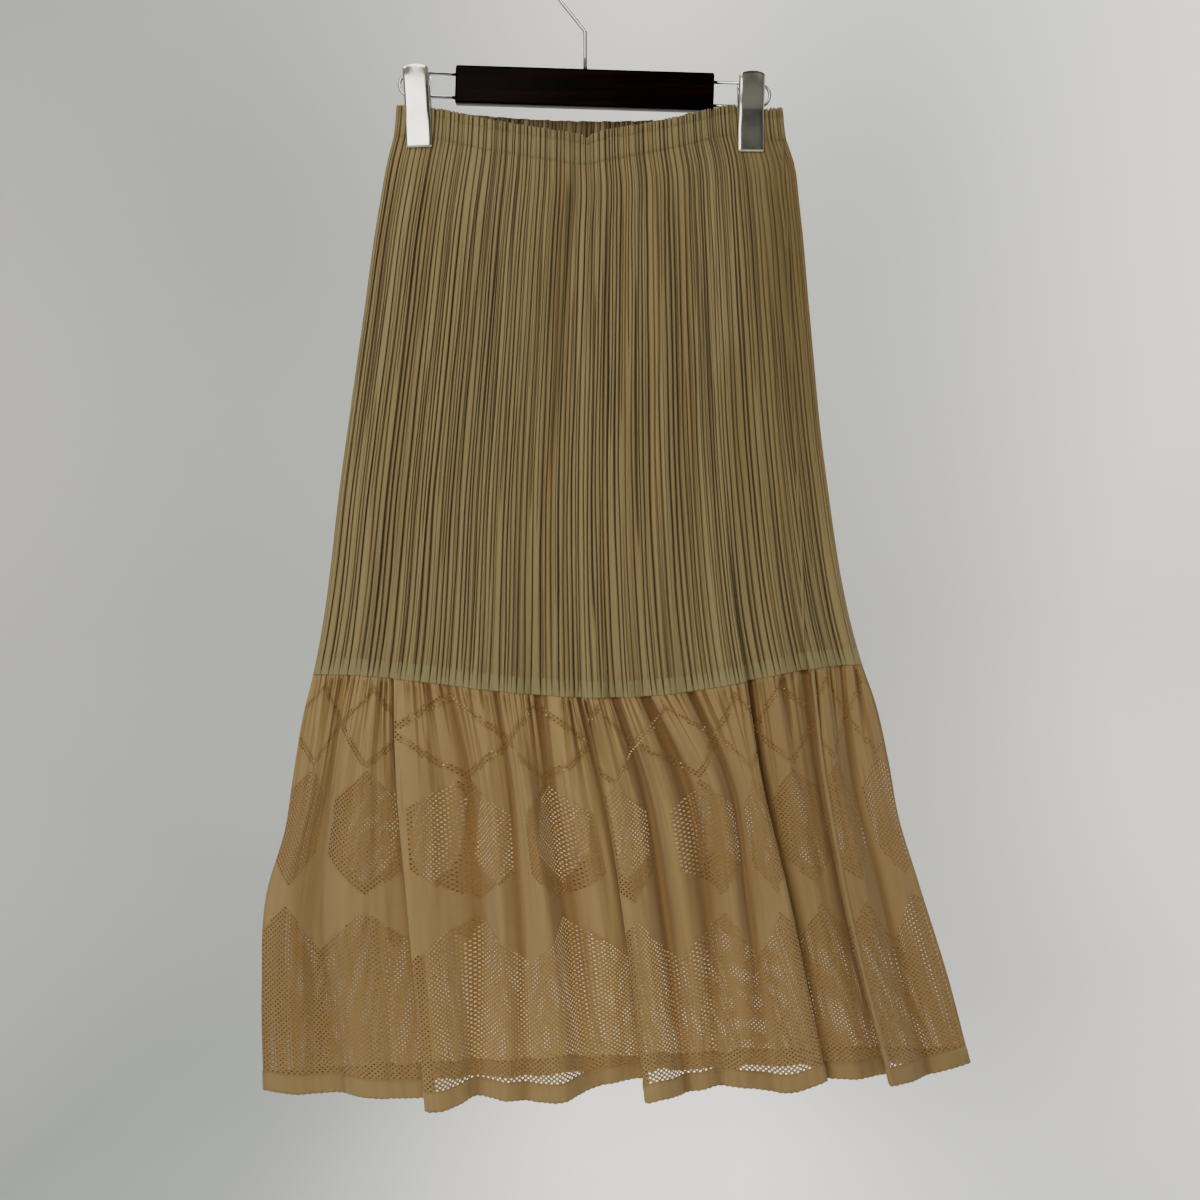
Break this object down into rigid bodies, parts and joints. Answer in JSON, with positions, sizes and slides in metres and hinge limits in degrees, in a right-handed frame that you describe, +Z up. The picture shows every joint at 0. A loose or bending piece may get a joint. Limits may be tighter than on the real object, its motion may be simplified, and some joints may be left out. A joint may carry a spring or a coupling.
{
  "type": "pleated skirt on a clip hanger",
  "caption": "Long pleated skirt with an elastic waist and a gathered openwork flounce, hanging by its waist from a wooden clip hanger with a wire hook.",
  "frame": {"origin": "underside of the top of the hanger's hook, where the rod carries it", "axes": "+Z up, -Y out of the front of the skirt, +X to the right as seen from the front"},
  "size_m": [0.568, 0.1096, 0.9152],
  "materials": {
    "pleated_cloth": "fine matt woven cloth, heat-set pleats",
    "openwork_cloth": "semi-sheer matt cloth with rows of small holes",
    "dark_wood": "dark red-brown lacquer",
    "chrome_wire": "polished plating",
    "satin_steel": "satin plating"
  },
  "bodies": {
    "root": {"waistband_front": "pleated_cloth", "waistband_back": "pleated_cloth", "yoke_front": "pleated_cloth", "yoke_back": "pleated_cloth", "flounce_front": "openwork_cloth", "flounce_back": "openwork_cloth", "hanger_bar": "dark_wood", "hanger_hook": "chrome_wire", "rail_left": "chrome_wire", "rail_right": "chrome_wire", "clip_left_spring": "chrome_wire", "clip_right_spring": "chrome_wire", "clip_left_front": "satin_steel", "clip_left_back": "satin_steel", "clip_right_front": "satin_steel", "clip_right_back": "satin_steel"}
  },
  "joints": []
}
